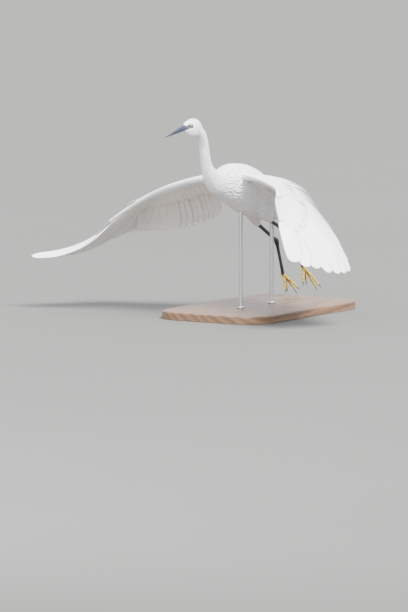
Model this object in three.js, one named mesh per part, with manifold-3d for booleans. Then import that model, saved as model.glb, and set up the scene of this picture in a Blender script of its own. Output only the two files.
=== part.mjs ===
// Little egret, life size, wings open and feet hanging, held over a plain display base by two rods.
// Millimetres, +Z up. The bird faces -Y and its left side is at +X.
// The origin is the middle of the underside of the base.

import * as THREE from 'three';
import { mergeVertices } from 'three/addons/utils/BufferGeometryUtils.js';
import Module from 'manifold-3d';

const wasm = await Module();
wasm.setup();

// Driving dimensions
const BILL_LENGTH = 79;
const HEAD_HALF_WIDTH = 14.2;
const NECK_RADIUS = 10.8;
const TORSO_HALF_WIDTH = 42;
const TORSO_HALF_HEIGHT = 49;
const PRIMARY_COUNT = 10;
const SECONDARY_COUNT = 12;
const COVERT_COUNT = 9;
const TAIL_FEATHER_COUNT = 12;
const FEATHER_BOW = 0.05;
const FLIGHT_TURN = 0.2;
const COVERT_TURN = 0.08;
const COVERT_RAISE = 5.8;
const TARSUS_RADIUS = 3.2;
const EYE_RADIUS = 4.6;
const SEAM = 0.3;

// Display base and rods
const BASE_WIDTH = 250;
const BASE_LENGTH = 420;
const BASE_THICKNESS = 16;
const BASE_CORNER = 60;
const BASE_BEVEL = 2;
const ROD_RADIUS = 4;
const ROD_PLACES = [-80, 38];

// The bird is laid out from a point on its middle line, level with its hanging feet, then lifted over the base.
const HIP_FORWARD = 10;
const LIFT = 26;

const colours = {
  plumage: new THREE.MeshStandardMaterial({ color: 0xf3f2ee, roughness: 0.85, metalness: 0 }),
  bill: new THREE.MeshStandardMaterial({ color: 0x2b2f3a, roughness: 0.45, metalness: 0 }),
  eye: new THREE.MeshStandardMaterial({ color: 0xd9c94a, roughness: 0.15, metalness: 0 }),
  leg: new THREE.MeshStandardMaterial({ color: 0x17181a, roughness: 0.5, metalness: 0 }),
  foot: new THREE.MeshStandardMaterial({ color: 0xb98f22, roughness: 0.55, metalness: 0 }),
  claw: new THREE.MeshStandardMaterial({ color: 0x1c1a18, roughness: 0.4, metalness: 0 }),
  wood: new THREE.MeshStandardMaterial({ color: 0x6b5442, roughness: 0.6, metalness: 0 }),
  rod: new THREE.MeshStandardMaterial({ color: 0x8f9296, roughness: 0.35, metalness: 0.9 }),
};

const vec = (x, y, z) => new THREE.Vector3(x, y, z);

const curveThrough = (points) =>
  new THREE.CatmullRomCurve3(points.map((p) => vec(p[0], p[1], p[2])), false, 'centripetal');

// A closed solid from a triangle mesh, whichever way its faces were wound.
function solidFromTriangles(positions, triangles) {
  let volume = 0;
  const corner = (i) => vec(positions[3 * i], positions[3 * i + 1], positions[3 * i + 2]);
  for (let t = 0; t < triangles.length; t += 3) {
    const a = corner(triangles[t]);
    const b = corner(triangles[t + 1]);
    const c = corner(triangles[t + 2]);
    volume += a.dot(b.cross(c));
  }
  if (volume < 0) {
    for (let t = 0; t < triangles.length; t += 3) {
      [triangles[t], triangles[t + 1]] = [triangles[t + 1], triangles[t]];
    }
  }
  return new wasm.Manifold(new wasm.Mesh({
    numProp: 3,
    vertProperties: new Float32Array(positions),
    triVerts: new Uint32Array(triangles),
  }));
}

function solidFromGeometry(geometry) {
  geometry.deleteAttribute('normal');
  geometry.deleteAttribute('uv');
  const merged = mergeVertices(geometry, 1e-4);
  return solidFromTriangles(Array.from(merged.attributes.position.array), Array.from(merged.index.array));
}

const joinAll = (solids) => solids.reduce((whole, piece) => whole.add(piece));

// The largest closed body of a solid, which drops the scraps that a cut leaves.
function largestBody(solid) {
  return solid.decompose().reduce((best, piece) => (piece.volume() > best.volume() ? piece : best));
}

function namedMesh(name, solid, material) {
  const data = largestBody(solid).getMesh();
  const geometry = new THREE.BufferGeometry();
  geometry.setAttribute('position', new THREE.BufferAttribute(new Float32Array(data.vertProperties), 3));
  geometry.setIndex(new THREE.BufferAttribute(new Uint32Array(data.triVerts), 1));
  const mesh = new THREE.Mesh(geometry, material);
  mesh.name = name;
  return mesh;
}

// A closed skin over rings of points, each ring with the same count, with a fan at either end.
function skinOverRings(rings) {
  const around = rings[0].length;
  const positions = [];
  const triangles = [];
  for (const ring of rings) {
    for (const p of ring) {
      positions.push(p.x, p.y, p.z);
    }
  }
  for (let r = 0; r + 1 < rings.length; r += 1) {
    for (let k = 0; k < around; k += 1) {
      const a = r * around + k;
      const b = r * around + (k + 1) % around;
      triangles.push(a, b, a + around, b, b + around, a + around);
    }
  }
  const ends = [[0, 1], [rings.length - 1, -1]];
  for (const [r, turn] of ends) {
    const middle = rings[r].reduce((sum, p) => sum.add(p), vec(0, 0, 0)).divideScalar(around);
    const centre = positions.length / 3;
    positions.push(middle.x, middle.y, middle.z);
    for (let k = 0; k < around; k += 1) {
      const a = r * around + k;
      const b = r * around + (k + 1) % around;
      triangles.push(...(turn > 0 ? [centre, b, a] : [centre, a, b]));
    }
  }
  return solidFromTriangles(positions, triangles);
}

// A limb or body: an oval section swept through keys of [x, y, z, half width, half height].
// from and to part it into lengths whose flat ends stand half a seam back from the cut.
function limb(keys, { rings = 12, around = 12, grow = 0, across = vec(1, 0, 0), from = 0, to = 1 } = {}) {
  const centre = curveThrough(keys);
  const sizes = curveThrough(keys.map((k) => [k[3], k[4], 0]));
  const outlines = [];
  for (let r = 0; r <= rings; r += 1) {
    const share = from + (to - from) * r / rings;
    const middle = centre.getPoint(share);
    const size = sizes.getPoint(share);
    const along = centre.getTangent(share);
    const side = across.clone().addScaledVector(along, -across.dot(along)).normalize();
    const up = along.clone().cross(side);
    if (r === 0 && from > 0) {
      middle.addScaledVector(along, SEAM / 2);
    }
    if (r === rings && to < 1) {
      middle.addScaledVector(along, -SEAM / 2);
    }
    const outline = [];
    for (let k = 0; k < around; k += 1) {
      const angle = 2 * Math.PI * k / around;
      outline.push(middle.clone()
        .addScaledVector(side, (Math.max(size.x, 0.2) + grow) * Math.cos(angle))
        .addScaledVector(up, (Math.max(size.y, 0.2) + grow) * Math.sin(angle)));
    }
    outlines.push(outline);
  }
  if (grow > 0) {
    const first = centre.getTangent(from).multiplyScalar(-grow);
    const last = centre.getTangent(to).multiplyScalar(grow);
    outlines[0].forEach((p) => p.add(first));
    outlines[rings].forEach((p) => p.add(last));
  }
  return skinOverRings(outlines);
}

// One feather: a thin vane with a raised shaft, narrow at the root and rounded at the tip.
// Both faces are split into the same triangles.
const VANE_STATIONS = [0, 0.35, 0.75, 0.93, 1];
const VANE_WIDTHS = [0.1, 0.7, 1, 0.7, 0.25];
const COVERT_STATIONS = [0, 0.5, 0.85, 1];
const COVERT_WIDTHS = [0.45, 1, 0.85, 0.3];

function vane({ root, tip, dorsal, width, thickness = 1, sag = 0.05, twist = 0, short = false }) {
  const stations = short ? COVERT_STATIONS : VANE_STATIONS;
  const widths = short ? COVERT_WIDTHS : VANE_WIDTHS;
  const along = tip.clone().sub(root);
  const length = along.length();
  along.divideScalar(length);
  const side = along.clone().cross(dorsal).normalize();
  const up = side.clone().cross(along).normalize();
  side.applyAxisAngle(along, twist);
  const lift = up.clone().applyAxisAngle(along, twist);
  const rings = stations.map((share, i) => {
    const middle = root.clone()
      .addScaledVector(along, length * share)
      .addScaledVector(up, 4 * sag * length * share * (1 - share));
    const half = width * widths[i] / 2;
    const thick = thickness * (1 - 0.4 * share) / 2;
    const droop = 0.02 * half;
    const edge = (sign, height) => middle.clone()
      .addScaledVector(side, sign * half)
      .addScaledVector(lift, height - droop);
    const ridge = middle.clone().addScaledVector(lift, thick);
    const keel = middle.clone().addScaledVector(lift, -thick);
    return [edge(-1, thick * 0.8), ridge, edge(1, thick * 0.8), edge(1, -thick * 0.8), keel, edge(-1, -thick * 0.8)];
  });
  const positions = [];
  const triangles = [];
  rings.forEach((ring) => ring.forEach((p) => positions.push(p.x, p.y, p.z)));
  const bands = [[0, 1, false], [1, 2, true], [2, 3, false], [3, 4, false], [4, 5, true], [5, 0, false]];
  for (let r = 0; r + 1 < rings.length; r += 1) {
    for (const [i, j, mirrored] of bands) {
      const a = 6 * r + i;
      const b = 6 * r + j;
      if (mirrored) {
        triangles.push(a, b, b + 6, a, b + 6, a + 6);
      } else {
        triangles.push(a, b, a + 6, b, b + 6, a + 6);
      }
    }
  }
  const cap = (start, flip) => {
    const faces = [[0, 1, 5], [1, 4, 5], [1, 2, 4], [2, 3, 4]];
    for (const [i, j, k] of faces) {
      triangles.push(...(flip ? [start + k, start + j, start + i] : [start + i, start + j, start + k]));
    }
  };
  cap(0, true);
  cap(6 * (rings.length - 1), false);
  return solidFromTriangles(positions, triangles);
}

// Torso: keys of [x, y, z, half width, half height] from the breast to the tail base.
const torsoKeys = [
  [0, -171, 253, 3, 3],
  [0, -166, 251, 19, 22],
  [0, -150, 248, 30, 34],
  [0, -125, 245, 37, 42],
  [0, -92, 237, TORSO_HALF_WIDTH - 1, TORSO_HALF_HEIGHT - 2],
  [0, -58, 224, TORSO_HALF_WIDTH, TORSO_HALF_HEIGHT],
  [0, -18, 208, TORSO_HALF_WIDTH - 3, TORSO_HALF_HEIGHT - 4],
  [0, 20, 193, 34, 37],
  [0, 54, 181, 24, 26],
  [0, 82, 171, 15, 14],
  [0, 92, 168, 4, 4],
];
const torsoShape = (grow) => limb(torsoKeys, { rings: 18, around: 24, grow });

// Neck: rises from the breast, bends back a little and then forward into the head.
const neckKeys = [
  [0, -148, 246, 25, 30],
  [0, -174, 252, 21, 25],
  [0, -194, 265, 16, 18.5],
  [0, -207, 282, NECK_RADIUS + 1.8, NECK_RADIUS + 2.6],
  [0, -215, 305, NECK_RADIUS, NECK_RADIUS + 0.6],
  [0, -220, 328, NECK_RADIUS - 0.4, NECK_RADIUS + 0.2],
  [0, -229, 348, NECK_RADIUS + 0.2, NECK_RADIUS + 1.2],
  [0, -242, 360, NECK_RADIUS + 1, NECK_RADIUS + 1.4],
];
const NECK_CUTS = [0, 0.5, 0.74, 1];

// Head: keys from the nape to the feathering at the bill.
const headKeys = [
  [0, -232, 359, 3, 4],
  [0, -236, 361, 9.5, 11.5],
  [0, -244, 364.5, 12.8, 16],
  [0, -256, 367.4, HEAD_HALF_WIDTH, 18.4],
  [0, -268, 368.4, HEAD_HALF_WIDTH - 0.6, 17.2],
  [0, -280, 367.9, HEAD_HALF_WIDTH - 2.4, 13.4],
  [0, -290, 367.3, 7.8, 9],
  [0, -296, 367, 5.6, 6.6],
];
const headShape = (grow) => limb(headKeys, { rings: 16, around: 18, grow });
const EYE_PLACE = [8.8, -280.5, 372];

function buildHead() {
  let head = headShape(0);
  for (const side of [-1, 1]) {
    const place = vec(side * EYE_PLACE[0], EYE_PLACE[1], EYE_PLACE[2]);
    const lids = new THREE.TorusGeometry(EYE_RADIUS - 0.2, 1.1, 5, 12);
    lids.rotateY(Math.PI / 2);
    lids.translate(side * (EYE_PLACE[0] + 2.3), place.y, place.z);
    head = head.add(solidFromGeometry(lids));
    const socket = new THREE.SphereGeometry(EYE_RADIUS + SEAM, 12, 8);
    socket.translate(place.x, place.y, place.z);
    head = head.subtract(solidFromGeometry(socket));
  }
  return head;
}

// Bill: two halves that meet along the mouth line.
const BILL_ROOT = vec(0, -287, 369);
const BILL_DROP = 0.178;
function buildBillHalf(sign) {
  const along = vec(0, -1, -BILL_DROP).normalize();
  const up = vec(0, -BILL_DROP, 1).normalize();
  const shares = [0, 0.12, 0.35, 0.65, 0.9, 1];
  const depth = sign > 0 ? [6, 5.6, 4.4, 3, 1.5, 0.5] : [5.4, 5, 3.7, 2.4, 1.1, 0.35];
  const width = [5.6, 5.2, 4, 2.7, 1.3, 0.4];
  const rings = shares.map((share, i) => {
    const middle = BILL_ROOT.clone().addScaledVector(along, BILL_LENGTH * share - 1)
      .addScaledVector(up, sign * SEAM / 2);
    const ring = [];
    for (let k = 0; k <= 8; k += 1) {
      const angle = Math.PI * k / 8;
      ring.push(middle.clone()
        .addScaledVector(vec(1, 0, 0), width[i] * Math.cos(angle))
        .addScaledVector(up, sign * depth[i] * Math.sin(angle)));
    }
    return ring;
  });
  let half = skinOverRings(rings);
  if (sign > 0) {
    for (const side of [-1, 1]) {
      const nostril = new THREE.SphereGeometry(1, 8, 6);
      nostril.scale(0.8, 4, 0.6);
      nostril.rotateX(Math.atan(BILL_DROP));
      nostril.translate(side * 4.2, -300, 369.6);
      half = half.subtract(solidFromGeometry(nostril));
    }
  }
  return half.subtract(headShape(SEAM));
}

// Wings: three lines from the shoulder to the end of the hand.
// lead is the leading edge, root is where the flight feathers leave the arm, tip is where they end.
const wings = {
  right: {
    lead: [
      [-24, -122, 262],
      [-85, -138, 250],
      [-142, -148, 231],
      [-194, -152, 205],
      [-228, -156, 182],
      [-262, -160, 159],
    ],
    root: [
      [-42, -86, 246],
      [-98, -100, 230],
      [-148, -113, 213],
      [-196, -134, 197],
      [-229, -142, 179],
      [-260, -150, 158],
    ],
    tip: [
      [-96, 24, 172],
      [-148, 29, 148],
      [-209, 6, 130],
      [-300, -22, 122],
      [-388, -98, 79],
      [-446, -182, 82],
    ],
    handBow: -0.12,
  },
  left: {
    lead: [
      [24, -122, 262],
      [70, -148, 262],
      [110, -170, 257],
      [150, -190, 246],
      [163, -211, 222],
      [185, -231, 189],
    ],
    root: [
      [46, -88, 254],
      [86, -106, 249],
      [120, -136, 244],
      [148, -164, 236],
      [164, -195, 214],
      [182, -222, 187],
    ],
    tip: [
      [36, 40, 240],
      [72, 44, 222],
      [132, 4, 184],
      [211, -51, 137],
      [298, -160, 84],
      [253, -295, 114],
    ],
    handBow: 0.05,
  },
};
// The feathers of the hand bow from here on towards handBow, less than nothing where their tips curl up.
const HAND_START = 0.6;
// The wing's spread is read this far along its feathers.
const SPAN_REACH = 0.07;
const ARM_SECTIONS = 14;
const ARM_THICKNESS = [19, 15, 12, 10, 8, 4.5];

// The dorsal direction of the wing at a share of its length, from its three lines.
function wingFrame(lines, share, outward) {
  const lead = lines.lead.getPoint(share);
  const root = lines.root.getPoint(share);
  const tip = lines.tip.getPoint(share);
  const near = (s) => lines.root.getPoint(s).lerp(lines.tip.getPoint(s), SPAN_REACH);
  const span = near(Math.min(1, share + 0.01)).sub(near(Math.max(0, share - 0.01)));
  const dorsal = tip.clone().sub(root).normalize().cross(span).multiplyScalar(-outward).normalize();
  return { lead, root, tip, dorsal };
}

function armOfWing(lines, outward) {
  const thickness = curveThrough(ARM_THICKNESS.map((t) => [t, 0, 0]));
  const rings = [];
  for (let s = 0; s <= ARM_SECTIONS; s += 1) {
    const share = s / ARM_SECTIONS;
    const { lead, root, tip, dorsal } = wingFrame(lines, share, outward);
    const back = root.clone().sub(lead);
    const chord = back.length() + 6;
    back.normalize();
    const up = dorsal.clone().addScaledVector(back, -dorsal.dot(back)).normalize();
    const thick = thickness.getPoint(share).x;
    const ring = [];
    for (let k = 0; k < 12; k += 1) {
      const angle = 2 * Math.PI * k / 12;
      const along = (1 - Math.cos(angle)) / 2;
      ring.push(lead.clone()
        .addScaledVector(back, chord * along)
        .addScaledVector(up, thick * (1 - 0.5 * along) * Math.sin(angle) / 2));
    }
    rings.push(ring);
  }
  return skinOverRings(rings);
}

// A row of overlapping vanes along the wing, each turned a little so that it clears its neighbours.
// face is 0 for flight feathers and 1 for the coverts on the back of the wing.
// Coverts follow the bow of the flight feathers that they lie on.
function featherRow(lines, outward, { count, from, to, reach, face, spread, cap, ...style }) {
  const solids = [];
  const step = (to - from) / (count - 1);
  for (let i = 0; i < count; i += 1) {
    const share = from + step * i;
    const { lead, root, tip, dorsal } = wingFrame(lines, share, outward);
    const a = wingFrame(lines, Math.min(1, share + step / 2), outward);
    const b = wingFrame(lines, Math.max(0, share - step / 2), outward);
    const gap = a.root.lerp(a.tip, reach).distanceTo(b.root.lerp(b.tip, reach));
    const handShare = Math.min(1, Math.max(0, (share - HAND_START) / (1 - HAND_START)));
    const bend = FEATHER_BOW + (lines.handBow - FEATHER_BOW) * handShare;
    const bow = face ? 4 * bend * root.distanceTo(tip) * reach * (1 - reach) : 0;
    const depth = face * ARM_THICKNESS[Math.round(share * (ARM_THICKNESS.length - 1))] * 0.22;
    solids.push(vane({
      root: root.clone().lerp(lead, face ? 0.45 : 0).addScaledVector(dorsal, depth),
      tip: root.clone().lerp(tip, reach).addScaledVector(dorsal, bow + face * COVERT_RAISE),
      dorsal,
      width: Math.min(cap, spread * gap),
      sag: bend * reach,
      ...style,
    }));
  }
  return solids;
}

function buildWing(name, outward) {
  const lines = {
    lead: curveThrough(wings[name].lead),
    root: curveThrough(wings[name].root),
    tip: curveThrough(wings[name].tip),
    handBow: wings[name].handBow,
  };
  const pieces = [
    armOfWing(lines, outward),
    ...featherRow(lines, outward, {
      count: PRIMARY_COUNT, from: 0.64, to: 0.985, reach: 1, face: 0, spread: 1.5, cap: 40,
      twist: -outward * FLIGHT_TURN,
    }),
    ...featherRow(lines, outward, {
      count: SECONDARY_COUNT, from: 0.1, to: 0.61, reach: 1, face: 0, spread: 1.7, cap: 32,
      twist: -outward * FLIGHT_TURN,
    }),
    ...featherRow(lines, outward, {
      count: COVERT_COUNT, from: 0.14, to: 0.97, reach: 0.42, face: 1, spread: 1.25, cap: 34,
      twist: -outward * COVERT_TURN, short: true,
    }),
  ];
  return joinAll(pieces).subtract(torsoShape(SEAM));
}

// Tail: a low fan of feathers on a short fleshy root.
const tailLines = {
  root: curveThrough([[11, 84, 168], [0, 86, 170], [-11, 84, 168]]),
  tip: curveThrough([[40, 172, 134], [0, 190, 138], [-40, 172, 134]]),
};
function buildTail() {
  const pieces = [limb([[0, 84, 170, 10, 8], [0, 96, 166.5, 13, 7], [0, 108, 162, 12, 3]], { rings: 5 })];
  for (let i = 0; i < TAIL_FEATHER_COUNT; i += 1) {
    const share = i / (TAIL_FEATHER_COUNT - 1);
    const side = share < 0.5 ? 1 : -1;
    pieces.push(vane({
      root: tailLines.root.getPoint(share),
      tip: tailLines.tip.getPoint(share).add(vec(0, 0, -4 * Math.abs(share - 0.5))),
      dorsal: vec(0.25 * (0.5 - share), 0.3, 1).normalize(),
      width: 17,
      thickness: 0.9,
      twist: side * 0.2,
      sag: 0.03,
    }));
  }
  return joinAll(pieces).subtract(torsoShape(SEAM));
}

// Legs: feathered thigh, bare shank, tarsus and foot on each side.
const legs = {
  right: {
    thigh: [[-20, -14, 192, 18, 22], [-22, 4, 172, 14, 17], [-24.5, 18, 157, 9.5, 11], [-26, 30, 148, 5, 5.4]],
    ankle: [-30, 105, 109],
    heel: [-42, 150, 37],
    toeDirection: [0.04, 0.72, -0.66],
  },
  left: {
    thigh: [[20, -34, 196, 18, 22], [21, -20, 180, 14, 17], [21, -8, 168, 9.5, 11], [21, 2, 160, 5, 5.4]],
    ankle: [24, 62, 132],
    heel: [34, 104, 60],
    toeDirection: [0.06, 0.62, -0.76],
  },
};
// Toes: name, length, sideways lean and how far it curls down.
const toes = [
  ['inner', 40, -0.34, 0.06],
  ['middle', 54, 0.02, 0.1],
  ['outer', 47, 0.34, 0.05],
  ['hind', 27, -0.1, -0.9],
];
const CLAW_LENGTH = 9;

function buildLeg(side) {
  const { thigh, ankle, heel, toeDirection } = legs[side];
  const end = thigh[3];
  const outward = side === 'left' ? 1 : -1;
  const between = (a, b, share) => [0, 1, 2].map((i) => a[i] + (b[i] - a[i]) * share);
  const shank = limb([
    [...end.slice(0, 3), 3.6, 3.8],
    [...between(end, ankle, 0.5), 3.3, 3.5],
    [...between(end, ankle, 0.88), 3.7, 4],
    [...ankle, 4.6, 5.1],
    [...between(ankle, heel, 0.06), 4.5, 4.9],
    [...between(ankle, heel, 0.16), 3.4, 3.7],
    [...between(ankle, heel, 0.5), TARSUS_RADIUS - 0.3, TARSUS_RADIUS],
    [...between(ankle, heel, 0.86), TARSUS_RADIUS, TARSUS_RADIUS + 0.2],
    [...heel, TARSUS_RADIUS + 0.6, TARSUS_RADIUS + 0.8],
  ], { rings: 20, around: 10 });
  const thighShape = (grow) => limb(thigh, { rings: 8, around: 14, grow });
  const heelPoint = vec(...heel);
  const forward = vec(...toeDirection).normalize();
  const sideways = vec(outward, 0, 0);
  const down = forward.clone().cross(sideways).multiplyScalar(outward);
  const hub = limb([
    [...heelPoint.clone().addScaledVector(forward, -3).toArray(), 2.4, 2.4],
    [...heelPoint.clone().addScaledVector(forward, 1).toArray(), 4.4, 4.2],
    [...heelPoint.clone().addScaledVector(forward, 6).toArray(), 4.6, 3.2],
    [...heelPoint.clone().addScaledVector(forward, 9).toArray(), 2.6, 2],
  ], { rings: 5, around: 8 });
  const claws = [];
  const toeSolids = toes.map(([name, length, lean, curl]) => {
    const direction = forward.clone().addScaledVector(sideways, lean).addScaledVector(down, -curl).normalize();
    const start = heelPoint.clone().addScaledVector(forward, 3);
    const at = (share) => start.clone().addScaledVector(direction, length * share)
      .addScaledVector(vec(0, 0, -1), length * 0.06 * share * share).toArray();
    const tip = vec(...at(1));
    const lead = tip.clone().sub(vec(...at(0.94))).normalize();
    const clawAt = (share) => tip.clone().addScaledVector(lead, CLAW_LENGTH * share + SEAM)
      .addScaledVector(vec(0, 0, -1), 1.6 * share * share).toArray();
    claws.push([`claw_${side}_${name}`, limb([
      [...clawAt(0), 1.15, 1.3],
      [...clawAt(0.5), 0.9, 1],
      [...clawAt(1), 0.3, 0.3],
    ], { rings: 4, around: 8 })]);
    return limb([
      [...at(0), 2.8, 2.8],
      [...at(0.3), 2.2, 2.2],
      [...at(0.38), 2.7, 2.6],
      [...at(0.6), 1.9, 1.9],
      [...at(0.68), 2.4, 2.3],
      [...at(0.9), 1.6, 1.6],
      [...at(1), 1.4, 1.6],
    ], { rings: 8, around: 6 });
  });
  const foot = joinAll([hub, ...toeSolids]);
  return {
    thigh: thighShape(0).subtract(torsoShape(SEAM)),
    shank: shank.subtract(thighShape(SEAM)),
    foot: foot.subtract(limb([
      [...between(ankle, heel, 0.7), TARSUS_RADIUS + 0.2 + SEAM, TARSUS_RADIUS + 0.4 + SEAM],
      [...heel, TARSUS_RADIUS + 0.6 + SEAM, TARSUS_RADIUS + 0.8 + SEAM],
    ], { rings: 4, around: 10, grow: SEAM })),
    claws,
  };
}

// Display base: a flat board with rounded corners and a small bevel.
function buildBase() {
  const board = new THREE.Shape();
  const x = BASE_WIDTH / 2 - BASE_BEVEL;
  const y = BASE_LENGTH / 2 - BASE_BEVEL;
  const r = BASE_CORNER;
  board.moveTo(-x + r, -y);
  board.lineTo(x - r, -y);
  board.absarc(x - r, -y + r, r, -Math.PI / 2, 0);
  board.lineTo(x, y - r);
  board.absarc(x - r, y - r, r, 0, Math.PI / 2);
  board.lineTo(-x + r, y);
  board.absarc(-x + r, y - r, r, Math.PI / 2, Math.PI);
  board.lineTo(-x, -y + r);
  board.absarc(-x + r, -y + r, r, Math.PI, 1.5 * Math.PI);
  const geometry = new THREE.ExtrudeGeometry(board, {
    depth: BASE_THICKNESS - 2 * BASE_BEVEL,
    bevelEnabled: true,
    bevelThickness: BASE_BEVEL,
    bevelSize: BASE_BEVEL,
    bevelSegments: 1,
    curveSegments: 6,
  });
  geometry.translate(0, 0, BASE_BEVEL);
  return solidFromGeometry(geometry);
}

// A rod from the top of the base to the underside of the torso, in the bird's own frame.
function buildRod(place) {
  const bottom = BASE_THICKNESS + SEAM - LIFT;
  const top = 230;
  const rod = new THREE.CylinderGeometry(ROD_RADIUS, ROD_RADIUS, top - bottom, 16);
  rod.rotateX(Math.PI / 2);
  rod.translate(0, place, (top + bottom) / 2);
  return solidFromGeometry(rod).subtract(torsoShape(SEAM));
}

const bird = new THREE.Group();
bird.position.set(0, HIP_FORWARD, LIFT);

bird.add(namedMesh('torso', torsoShape(0), colours.plumage));
const neckNames = ['neck_lower', 'neck_middle', 'neck_upper'];
neckNames.forEach((name, i) => {
  const length = limb(neckKeys, { rings: 8, around: 18, from: NECK_CUTS[i], to: NECK_CUTS[i + 1] });
  bird.add(namedMesh(name, length.subtract(torsoShape(SEAM)).subtract(headShape(SEAM)), colours.plumage));
});
bird.add(namedMesh('head', buildHead(), colours.plumage));
bird.add(namedMesh('bill_upper', buildBillHalf(1), colours.bill));
bird.add(namedMesh('bill_lower', buildBillHalf(-1), colours.bill));
for (const [name, side] of [['eye_left', 1], ['eye_right', -1]]) {
  const ball = new THREE.SphereGeometry(EYE_RADIUS, 12, 8);
  ball.translate(side * EYE_PLACE[0], EYE_PLACE[1], EYE_PLACE[2]);
  bird.add(namedMesh(name, solidFromGeometry(ball), colours.eye));
}
bird.add(namedMesh('wing_left', buildWing('left', 1), colours.plumage));
bird.add(namedMesh('wing_right', buildWing('right', -1), colours.plumage));
bird.add(namedMesh('tail', buildTail(), colours.plumage));
for (const side of ['left', 'right']) {
  const leg = buildLeg(side);
  bird.add(namedMesh(`thigh_${side}`, leg.thigh, colours.plumage));
  bird.add(namedMesh(`shank_${side}`, leg.shank, colours.leg));
  bird.add(namedMesh(`foot_${side}`, leg.foot, colours.foot));
  for (const [name, claw] of leg.claws) {
    bird.add(namedMesh(name, claw, colours.claw));
  }
}
ROD_PLACES.forEach((place, i) => {
  bird.add(namedMesh(i ? 'stand_rod_rear' : 'stand_rod_front', buildRod(place), colours.rod));
});

const model = new THREE.Group();
model.add(bird);
model.add(namedMesh('stand_base', buildBase(), colours.wood));

export default model;
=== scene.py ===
"""A life-size little egret with open wings and trailing feet, held over a board by two rods."""
import math

import bpy
import numpy as np
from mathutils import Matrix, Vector
from mathutils.bvhtree import BVHTree


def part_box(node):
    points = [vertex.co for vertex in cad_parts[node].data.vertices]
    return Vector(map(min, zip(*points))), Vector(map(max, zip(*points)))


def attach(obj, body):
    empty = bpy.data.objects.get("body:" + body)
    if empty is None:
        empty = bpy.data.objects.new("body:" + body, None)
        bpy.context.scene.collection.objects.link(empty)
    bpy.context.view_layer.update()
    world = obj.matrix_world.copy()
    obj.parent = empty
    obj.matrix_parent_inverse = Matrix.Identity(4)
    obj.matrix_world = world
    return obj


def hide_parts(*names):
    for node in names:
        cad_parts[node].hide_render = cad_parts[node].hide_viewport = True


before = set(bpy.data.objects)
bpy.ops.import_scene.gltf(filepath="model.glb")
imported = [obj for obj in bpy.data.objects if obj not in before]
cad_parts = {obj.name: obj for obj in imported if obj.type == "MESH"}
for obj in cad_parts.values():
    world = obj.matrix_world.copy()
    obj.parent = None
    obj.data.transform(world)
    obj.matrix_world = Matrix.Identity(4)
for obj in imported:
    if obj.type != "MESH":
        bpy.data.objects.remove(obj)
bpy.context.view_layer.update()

# Lengths below are millimetres from the bird's hips: -Y ahead of the bird, +X to its left, +Z up.
HIPS = np.array([0.0, 10.0, 26.0])
MM = 0.001
chance = np.random.default_rng(417)


# Lines and sweeps
def unit(v):
    v = np.asarray(v, float)
    return v / np.maximum(np.linalg.norm(v, axis=-1, keepdims=True), 1e-9)


class Line:
    """A smooth curve through keys, read at shares of its number of keys."""

    def __init__(self, keys):
        keys = np.asarray(keys, float)
        self.last = len(keys) - 1
        self.padded = np.vstack([2 * keys[0] - keys[1], keys, 2 * keys[-1] - keys[-2]])

    def at(self, share):
        t = np.clip(np.asarray(share, float), 0, 1) * self.last
        i = np.minimum(t.astype(int), self.last - 1)
        w = (t - i)[..., None]
        p = [self.padded[i + k] for k in range(4)]
        gaps = [np.sqrt(np.linalg.norm(p[k + 1] - p[k], axis=-1, keepdims=True)) for k in range(3)]
        mid = np.where(gaps[1] < 1e-4, 1, gaps[1])
        first = np.where(gaps[0] < 1e-4, mid, gaps[0])
        third = np.where(gaps[2] < 1e-4, mid, gaps[2])
        out = ((p[1] - p[0]) / first - (p[2] - p[0]) / (first + mid) + (p[2] - p[1]) / mid) * mid
        into = ((p[2] - p[1]) / mid - (p[3] - p[1]) / (mid + third) + (p[3] - p[2]) / third) * mid
        return (p[1] + out * w + (3 * (p[2] - p[1]) - 2 * out - into) * w**2
                + (2 * (p[1] - p[2]) + out + into) * w**3)

    def along(self, share):
        share = np.asarray(share, float)
        return unit(self.at(np.minimum(share + 1e-3, 1)) - self.at(np.maximum(share - 1e-3, 0)))


def smoothstep(low, high, x):
    t = np.clip((np.asarray(x, float) - low) / (high - low), 0, 1)
    return t * t * (3 - 2 * t)


def swept_rings(keys, rings, around, grow=0.0, across=(1, 0, 0)):
    """Oval rings along keys of x, y, z, half width and half height."""
    keys = np.asarray(keys, float)
    shares = np.linspace(0, 1, rings + 1)
    middle = Line(keys[:, :3]).at(shares)
    along = Line(keys[:, :3]).along(shares)
    sizes = np.maximum(Line(np.c_[keys[:, 3:5], 0 * keys[:, 3]]).at(shares)[:, :2] + grow, 0.25)
    across = np.asarray(across, float)
    side = unit(across - along * (along @ across)[:, None])
    up = np.cross(along, side)
    angle = np.linspace(0, 2 * np.pi, around, endpoint=False)
    return (middle[:, None] + side[:, None] * (sizes[:, :1] * np.cos(angle))[..., None]
            + up[:, None] * (sizes[:, 1:] * np.sin(angle))[..., None])


def skin_of_rings(rings):
    """Points and faces of a closed skin over rings."""
    count, around = rings.shape[:2]
    points = np.vstack([rings.reshape(-1, 3), rings[0].mean(0), rings[-1].mean(0)])
    faces = []
    for r in range(count - 1):
        for k in range(around):
            a, b = r * around + k, r * around + (k + 1) % around
            faces.append((a, b, b + around, a + around))
    low, high = count * around, count * around + 1
    for k in range(around):
        faces.append((low, (k + 1) % around, k))
        top = (count - 1) * around
        faces.append((high, top + k, top + (k + 1) % around))
    return points, faces


def join_shapes(shapes):
    points, faces, start = [], [], 0
    for p, f in shapes:
        points.append(np.asarray(p))
        faces.extend(tuple(i + start for i in face) for face in f)
        start += len(p)
    return np.vstack(points), faces


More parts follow.
